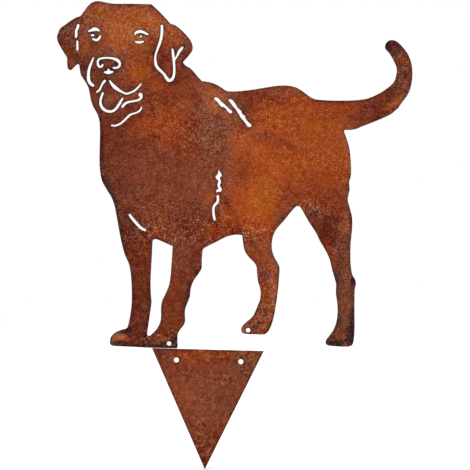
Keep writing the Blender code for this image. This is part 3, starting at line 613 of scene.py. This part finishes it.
# One plate: both faces, softened edges and walls, as one closed mesh
def buildPlate(name, node, patches, recipe):
    loops = frontLoops(node, recipe["edgeStep"])
    finder = EdgeFinder(loops)
    points = facePoints(loops, finder, recipe)
    placed, faces, rim = cutSheet(loops, points, recipe["tolerance"])
    count = len(placed)
    low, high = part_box(node.name)
    halfSheet = (high.y - low.y) / 2 / mm
    edgeDistance = finder.distances(placed)
    front = -halfSheet + reliefDepth(placed, edgeDistance, "front")
    back = halfSheet - reliefDepth(placed, edgeDistance, "back")
    verts = [(x, y, z) for (x, z), y in zip(placed, front)]
    verts += [(x, y, z) for (x, z), y in zip(placed, back)]
    allFaces = [tuple(face) for face in faces]
    allFaces += [tuple(count + i for i in reversed(face)) for face in faces]
    faceKinds = [0] * len(allFaces)

    rimVerts = sorted({i for edge in rim for i in edge})
    rungs = []
    for share in recipe["wallRows"]:
        rung = {}
        for i in rimVerts:
            rung[i] = len(verts)
            y = front[i] + (back[i] - front[i]) * share
            verts.append((placed[i][0], y, placed[i][1]))
        rungs.append(rung)
    ladder = [{i: i for i in rimVerts}] + rungs + [{i: count + i for i in rimVerts}]
    for upper, lower in zip(ladder, ladder[1:]):
        for a, b in rim:
            allFaces.append((upper[a], lower[a], lower[b], upper[b]))
            faceKinds.append(1)

    mesh = bpy.data.meshes.new(name)
    mesh.from_pydata([(x * mm, y * mm, z * mm) for x, y, z in verts], [], allFaces)
    mesh.polygons.foreach_set("material_index", faceKinds)
    paintFields(mesh, placed, edgeDistance, patches, recipe)
    mesh.shade_smooth()
    mesh.set_sharp_from_angle(angle=math.radians(recipe["sharpAngle"]))
    plate = bpy.data.objects.new(name, mesh)
    bpy.context.scene.collection.objects.link(plate)
    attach(plate, "root")
    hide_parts(node.name)
    print(f"{name}: {len(rim)} edge points, {len(mesh.vertices)} points, {len(allFaces)} faces")
    return plate


# Lengths in millimetres
dogRecipe = {
    "edgeStep": 1.3,
    "gridStep": 1.35,
    "shake": 0.22,  # of a grid step, each way
    "gridClearance": 0.45,  # of a grid step, from the last row
    "rows": (0.07, 0.22, 0.75),  # how far each row lies from the cut edge
    "rowClearance": 0.9,  # a row's point nearer than this share of its inset is left out
    "wallRows": (0.5,),  # shares of the sheet's thickness
    "tolerance": 1e-6,
    "sharpAngle": 60.0,  # degrees
    "rimWidth": 1.2,
    "rimShares": (0.7, 0.3),  # a narrow dark rim and a wide faint one, both heat tint and painted shadow
    "rimTail": 2.5,  # how many times wider the faint one is
    "backStrength": 0.7,
    "patchCorner": (-207.9, 349.2),
    "patchShift": 2.0,
    "seed": 4,
}
spikeRecipe = dict(dogRecipe, patchCorner=(-207.9, 350.9), seed=9)
dog = buildPlate("dog_silhouette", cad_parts["dog_plate"], dogPatches, dogRecipe)
spike = buildPlate("ground_spike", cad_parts["spike_plate"], spikePatches, spikeRecipe)


socketKinds = {"Place": "NodeSocketVector", "Color": "NodeSocketColor"}  # all others are numbers


def newSocket(group, label, side):
    kind = socketKinds.get(label, "NodeSocketFloat")
    return group.interface.new_socket(label, in_out=side, socket_type=kind)


# A node group, with the names of its inputs and outputs and the first values of its inputs
def newGroup(name, inputs, outputs):
    group = bpy.data.node_groups.new(name, "ShaderNodeTree")
    for label, value in inputs.items():
        socket = newSocket(group, label, "INPUT")
        if value is not None:
            socket.default_value = value
    for label in outputs:
        newSocket(group, label, "OUTPUT")
    given = nodeIn(group, "NodeGroupInput").outputs
    result = nodeIn(group, "NodeGroupOutput").inputs
    return group, given, result


def setOrWire(tree, socket, value):
    if isinstance(value, (int, float, tuple)):
        socket.default_value = value
    else:
        wire(tree, value, socket)


def mathIn(tree, operation, first, second, clamp=False):
    node = nodeIn(tree, "ShaderNodeMath", operation=operation, use_clamp=clamp)
    setOrWire(tree, node.inputs[0], first)
    setOrWire(tree, node.inputs[1], second)
    return node.outputs[0]


def plus(tree, first, second):
    return mathIn(tree, "ADD", first, second)


def minus(tree, first, second):
    return mathIn(tree, "SUBTRACT", first, second)


def times(tree, first, second):
    return mathIn(tree, "MULTIPLY", first, second)


def vectorIn(tree, operation, first, second):
    node = nodeIn(tree, "ShaderNodeVectorMath", operation=operation)
    setOrWire(tree, node.inputs[0], first)
    setOrWire(tree, node.inputs["Scale" if operation == "SCALE" else 1], second)
    return node.outputs[0]


def noiseIn(tree, place, scale, detail=2.0, roughness=0.5):
    node = nodeIn(tree, "ShaderNodeTexNoise")
    node.inputs["Scale"].default_value = scale
    node.inputs["Detail"].default_value = detail
    node.inputs["Roughness"].default_value = roughness
    wire(tree, place, node.inputs["Vector"])
    return node.outputs["Fac"]


# A noise measured from its middle
def swingIn(tree, place, *noise, **namedNoise):
    return minus(tree, noiseIn(tree, place, *noise, **namedNoise), 0.5)


def rangeIn(tree, value, low, high, newLow=0.0, newHigh=1.0):
    node = nodeIn(tree, "ShaderNodeMapRange", interpolation_type="SMOOTHSTEP")
    for label, number in (("From Min", low), ("From Max", high), ("To Min", newLow), ("To Max", newHigh)):
        node.inputs[label].default_value = number
    wire(tree, value, node.inputs["Value"])
    return node.outputs["Result"]


def mixColour(tree, factor, first, second):
    node = nodeIn(tree, "ShaderNodeMix", data_type="RGBA")
    for socket, value in ((node.inputs[0], factor), (node.inputs[6], first), (node.inputs[7], second)):
        setOrWire(tree, socket, value)
    return node.outputs[2]


backStep = (3.7, 0.0, 1.9)  # metres from the front's stretch of the textures to the back's


# Where the rust's textures are read. Side 1 is the back, and Shift gives a plate its own stretch
def rustPlaceGroup():
    group, given, result = newGroup("rustPlace", {"Side": 0.0, "Shift": 0.0}, ["Place"])
    steps = plus(group, given["Side"], given["Shift"])
    onPlate = nodeIn(group, "ShaderNodeTexCoord").outputs["Object"]
    moved = vectorIn(group, "ADD", onPlate, vectorIn(group, "SCALE", backStep, steps))
    wire(group, moved, result["Place"])
    return group


# Each noise here and below has a scale, and a detail and roughness where they aren't the usual ones
ageMix = {
    "broad": {"scale": 30.0, "detail": 3.0},
    "broadWeight": 0.20,
    "middle": {"scale": 120.0, "detail": 4.0, "roughness": 0.6},
    "middleWeight": 0.16,
    "glowWeight": 0.62,
    "sootAndShadowWeight": 0.80,
}


# How far the rust has gone at each point: 0 is dark old scale, 1 is fresh orange
def rustAgeGroup():
    group, given, result = newGroup(
        "rustAge", {"Place": None, "Base": 0.42, "Glow": 0.0, "Soot": 0.0, "Mottle": 1.0}, ["Age"])
    broad = swingIn(group, given["Place"], **ageMix["broad"])
    middle = swingIn(group, given["Place"], **ageMix["middle"])
    mottle = plus(group, times(group, broad, ageMix["broadWeight"]),
                  times(group, middle, ageMix["middleWeight"]))
    # The dark patches, painted shadows among them, push the rust towards dark old scale
    patches = minus(group, times(group, given["Glow"], ageMix["glowWeight"]),
                    times(group, given["Soot"], ageMix["sootAndShadowWeight"]))
    age = plus(group, given["Base"], patches)
    wire(group, plus(group, age, times(group, mottle, given["Mottle"])), result["Age"])
    return group


grainMix = {
    "layers": ((980.0, 1.0, 0.47), (430.0, 2.0, 0.27), (110.0, 3.0, 0.09)),  # scale, detail, weight
    "smoothScale": 0.78,  # strength where the scale isn't coarse
    "coarseGain": 0.9,
    "brightGain": 1.3,  # bright grains stand out more than dark ones
}


# Fine grain of the rust, stronger where the scale is coarse
def rustGrainGroup():
    group, given, result = newGroup(
        "rustGrain", {"Place": None, "Coarse": 0.0, "Strength": 1.0, "Fineness": 1.0}, ["Grain"])
    place = vectorIn(group, "SCALE", given["Place"], given["Fineness"])
    grain = 0.0
    for scale, detail, weight in grainMix["layers"]:
        layer = swingIn(group, place, scale, detail)
        grain = plus(group, grain, times(group, layer, weight))
    rougher = plus(group, times(group, given["Coarse"], grainMix["coarseGain"]), grainMix["smoothScale"])
    grain = times(group, times(group, grain, rougher), given["Strength"])
    uneven = plus(group, times(group, grain, grainMix["brightGain"]), 1.0)
    wire(group, times(group, grain, uneven), result["Grain"])
    return group


crumbMix = {
    "fewest": 0.22,  # where the scale isn't coarse
    "clusters": {"scale": 60.0},
    "clusterRange": (0.40, 0.60, 0.35, 1.0),
    "light": {"scale": 560.0, "detail": 1.0},
    "lightRange": (0.585, 0.70),
    "dark": {"scale": 500.0, "detail": 1.5},
    "darkRange": (0.60, 0.72),
}


# Small light and dark crumbs of rust, thick where the scale is coarse
def rustSpecksGroup():
    group, given, result = newGroup(
        "rustSpecks", {"Place": None, "Coarse": 0.0, "Amount": 1.0}, ["Light", "Dark"])
    place = given["Place"]
    many = times(group, plus(group, given["Coarse"], crumbMix["fewest"]), given["Amount"])
    clusters = rangeIn(group, noiseIn(group, place, **crumbMix["clusters"]), *crumbMix["clusterRange"])
    many = times(group, many, clusters)
    light = rangeIn(group, noiseIn(group, place, **crumbMix["light"]), *crumbMix["lightRange"])
    dark = rangeIn(group, noiseIn(group, place, **crumbMix["dark"]), *crumbMix["darkRange"])
    wire(group, times(group, light, many), result["Light"])
    wire(group, times(group, dark, many), result["Dark"])
    return group


tintMix = {
    "drift": {"scale": 125.0, "detail": 3.0, "roughness": 0.6},
    "flecks": {"scale": 290.0},
    "liveliness": 0.07,
    "ochreLiveliness": 0.10,  # more of it in the golden patches
    "plainOchre": 0.18,  # patches stronger than this are golden, and the rest is a little redder
    "ochreWeight": 0.030,
}


# Drifts of colour: towards gold and away from it, and towards red and away from it
def rustTintGroup():
    group, given, result = newGroup(
        "rustTint", {"Place": None, "Ochre": 0.0, "Amount": 1.0}, ["Gold", "Red"])
    lively = plus(group, times(group, given["Ochre"], tintMix["ochreLiveliness"]), tintMix["liveliness"])
    lively = times(group, lively, given["Amount"])
    drift = swingIn(group, given["Place"], **tintMix["drift"])
    flecks = swingIn(group, given["Place"], **tintMix["flecks"])
    golden = times(group, minus(group, given["Ochre"], tintMix["plainOchre"]), tintMix["ochreWeight"])
    wire(group, plus(group, times(group, drift, lively), golden), result["Gold"])
    wire(group, times(group, flecks, lively), result["Red"])
    return group


patinaMix = {
    "cloud": {"scale": 170.0, "detail": 3.0, "roughness": 0.6},
    "cloudMiddle": 0.63,
    "cloudWeight": 0.70,
    "coarseLoss": 0.17,  # dust that coarse scale doesn't hold
    "rimBreaks": {"scale": 75.0},
    "rimRange": (0.35, 0.62, 0.35, 1.25),
}


# Pale dust lies in thin clouds, and the dark rim of the cut edges, heat tint with painted shadow, comes
# and goes
def rustPatinaGroup():
    group, given, result = newGroup(
        "rustPatina", {"Place": None, "Ash": 0.0, "Coarse": 0.0, "Rim": 0.0}, ["Dust", "Rim"])
    cloud = noiseIn(group, given["Place"], **patinaMix["cloud"])
    cloud = times(group, minus(group, cloud, patinaMix["cloudMiddle"]), patinaMix["cloudWeight"])
    lost = times(group, given["Coarse"], patinaMix["coarseLoss"])
    wire(group, minus(group, plus(group, given["Ash"], cloud), lost), result["Dust"])
    breaks = noiseIn(group, given["Place"], **patinaMix["rimBreaks"])
    uneven = rangeIn(group, breaks, *patinaMix["rimRange"])
    wire(group, mathIn(group, "MULTIPLY", given["Rim"], uneven, clamp=True), result["Rim"])
    return group


# Colours of the rust, from black scale over dark scale to fresh orange
rustColours = (
    (-0.35, (0.0190, 0.0070, 0.0062, 1)),
    (0.00, (0.0614, 0.0126, 0.0066, 1)),
    (0.16, (0.0933, 0.0180, 0.0076, 1)),
    (0.32, (0.1279, 0.0245, 0.0088, 1)),
    (0.47, (0.1688, 0.0320, 0.0098, 1)),
    (0.63, (0.2165, 0.0406, 0.0101, 1)),
    (0.79, (0.2711, 0.0519, 0.0102, 1)),
    (1.00, (0.3597, 0.0755, 0.0115, 1)),
)
colourMix = {
    "dust": (0.050, 0.047, 0.029),  # what a full coat of pale dust adds
    "dustRange": (-0.25, 0.20, 0.2, 1.0),  # little dust lies on black scale
    "marks": (  # how far each one covers, and its colour
        # The rim's colour: heat tint of the cut with a painted shadow along it
        ("Rim", 0.80, (0.030, 0.011, 0.010, 1)),
        ("Dark", 0.40, (0.030, 0.010, 0.009, 1)),
        ("Light", 0.62, (0.395, 0.158, 0.062, 1))),
    "drifts": (  # what each one adds to red, green and blue
        ("Gold", (0.0, 0.6, -0.6)), ("Red", (0.7, -0.3, 0.0)), ("Grain", (1.0, 1.0, 1.0))),
    "darkest": (0.07, 0.05, 0.05),
    "gamma": 2.2,
}


def gammaIn(tree, colour, gamma):
    node = nodeIn(tree, "ShaderNodeGamma")
    node.inputs["Gamma"].default_value = gamma
    wire(tree, colour, node.inputs["Color"])
    return node.outputs["Color"]


# The colour itself: by age, then dust, marks, drifts and grain
def rustColourGroup():
    group, given, result = newGroup(
        "rustColour",
        {"Age": 0.5, "Dust": 0.0, "Light": 0.0, "Dark": 0.0, "Rim": 0.0, "Grain": 0.0, "Gold": 0.0,
         "Red": 0.0}, ["Color"])
    oldest = rustColours[0][0]
    span = rustColours[-1][0] - oldest
    ramp = nodeIn(group, "ShaderNodeValToRGB")
    stops = ramp.color_ramp.elements
    while len(stops) < len(rustColours):
        stops.new(0.5)
    for stop, (at, colour) in zip(stops, rustColours):
        stop.position = (at - oldest) / span
        stop.color = colour
    along = mathIn(group, "DIVIDE", minus(group, given["Age"], oldest), span)
    wire(group, along, ramp.inputs["Fac"])
    showing = rangeIn(group, given["Age"], *colourMix["dustRange"])
    dust = vectorIn(group, "SCALE", colourMix["dust"], times(group, given["Dust"], showing))
    colour = vectorIn(group, "ADD", ramp.outputs["Color"], dust)
    for label, cover, marking in colourMix["marks"]:
        colour = mixColour(group, times(group, given[label], cover), colour, marking)
    # The grain is added in even steps of brightness, so it shows as much on dark scale as on orange
    colour = gammaIn(group, colour, 1 / colourMix["gamma"])
    for label, direction in colourMix["drifts"]:
        colour = vectorIn(group, "ADD", colour, vectorIn(group, "SCALE", direction, given[label]))
    colour = vectorIn(group, "MAXIMUM", colour, colourMix["darkest"])
    wire(group, gammaIn(group, colour, colourMix["gamma"]), result["Color"])
    return group


groups = {
    "place": rustPlaceGroup(),
    "age": rustAgeGroup(),
    "grain": rustGrainGroup(),
    "specks": rustSpecksGroup(),
    "tint": rustTintGroup(),
    "patina": rustPatinaGroup(),
    "colour": rustColourGroup(),
}
print("node groups built")


def groupIn(tree, key, **inputs):
    node = nodeIn(tree, "ShaderNodeGroup", node_tree=groups[key])
    for label, value in inputs.items():
        setOrWire(tree, node.inputs[label], value)
    return node.outputs


def attributeIn(tree, name):
    return nodeIn(tree, "ShaderNodeAttribute", attribute_name=name).outputs["Fac"]


def newMaterial(name):
    material = bpy.data.materials.new(name)
    material.use_nodes = True
    return material, material.node_tree


def finishSurface(tree, finish, colour, roughness, height):
    bump = nodeIn(tree, "ShaderNodeBump")
    bump.inputs["Strength"].default_value = finish["bump"]
    bump.inputs["Distance"].default_value = finish["bumpHeight"] * mm
    wire(tree, height, bump.inputs["Height"])
    shader = tree.nodes["Principled BSDF"]
    wire(tree, colour, shader.inputs["Base Color"])
    wire(tree, roughness, shader.inputs["Roughness"])
    wire(tree, bump.outputs["Normal"], shader.inputs["Normal"])
    shader.inputs["Metallic"].default_value = 0.0
    shader.inputs["Specular IOR Level"].default_value = finish["shine"]


# Face of a plate
def rustMaterial(name, finish):
    material, tree = newMaterial(name)
    painted = ("side", "rim", "glow", "sootAndShadow", "ash", "coarse", "ochre")
    on = {kind: attributeIn(tree, kind) for kind in painted}
    place = groupIn(tree, "place", Side=on["side"], Shift=finish["shift"])["Place"]
    age = groupIn(
        tree, "age", Place=place, Glow=on["glow"], Soot=on["sootAndShadow"], Base=finish["base"],
        Mottle=finish["mottle"])["Age"]
    grain = groupIn(
        tree, "grain", Place=place, Coarse=on["coarse"], Strength=finish["grain"],
        Fineness=finish["fineness"])["Grain"]
    specks = groupIn(tree, "specks", Place=place, Coarse=on["coarse"], Amount=finish["specks"])
    patina = groupIn(tree, "patina", Place=place, Ash=on["ash"], Coarse=on["coarse"], Rim=on["rim"])
    tint = groupIn(tree, "tint", Place=place, Ochre=on["ochre"], Amount=finish["tint"])
    colour = groupIn(
        tree, "colour", Age=age, Dust=patina["Dust"], Rim=patina["Rim"], Light=specks["Light"],
        Dark=specks["Dark"], Grain=grain, Gold=tint["Gold"], Red=tint["Red"])["Color"]
    roughness = rangeIn(tree, age, *finish["roughAges"], finish["roughOld"], finish["roughFresh"])
    finishSurface(tree, finish, colour, roughness, grain)
    return material


# Cut edge: darker, with the cutter's drag lines across the sheet
def cutEdgeMaterial(name, finish):
    material, tree = newMaterial(name)
    place = nodeIn(tree, "ShaderNodeTexCoord").outputs["Object"]
    squeezed = vectorIn(tree, "MULTIPLY", place, finish["squeeze"])
    lines = noiseIn(tree, squeezed, **finish["dragLines"])
    blotch = noiseIn(tree, place, **finish["blotches"])
    lightness = rangeIn(tree, blotch, *finish["blotchRange"])
    colour = mixColour(tree, lightness, finish["dark"], finish["light"])
    colour = mixColour(tree, rangeIn(tree, lines, *finish["lineRange"]), colour, finish["line"])
    finishSurface(tree, finish, colour, rangeIn(tree, blotch, *finish["roughRange"]), lines)
    return material


dogFinish = {
    "base": 0.43,
    "mottle": 1.3,
    "grain": 1.13,
    "fineness": 1.0,
    "specks": 1.0,
    "tint": 1.0,
    "shift": 0.0,
    "roughAges": (0.1, 0.9),
    "roughOld": 0.72,
    "roughFresh": 0.92,
    "shine": 0.06,
    "bump": 0.6,
    "bumpHeight": 0.4,  # mm
}
spikeFinish = dict(dogFinish, base=0.46, mottle=0.3, grain=0.56, fineness=0.5, specks=0.6, shift=0.34)
edgeFinish = {
    "dark": (0.050, 0.020, 0.014, 1),
    "light": (0.150, 0.045, 0.022, 1),
    "line": (0.250, 0.070, 0.028, 1),
    "squeeze": (1.0, 0.12, 1.0),  # draws the lines out across the sheet
    "dragLines": {"scale": 1500.0},
    "lineRange": (0.45, 0.70, 0.0, 0.55),
    "blotches": {"scale": 260.0, "detail": 3.0},
    "blotchRange": (0.35, 0.68),
    "roughRange": (0.3, 0.7, 0.6, 0.85),
    "shine": 0.2,
    "bump": 0.6,
    "bumpHeight": 0.15,  # mm
}
edge = cutEdgeMaterial("cutEdge", edgeFinish)
for plate, name, finish in ((dog, "dogRust", dogFinish), (spike, "spikeRust", spikeFinish)):
    plate.data.materials.append(rustMaterial(name, finish))
    plate.data.materials.append(edge)
print("materials assigned")
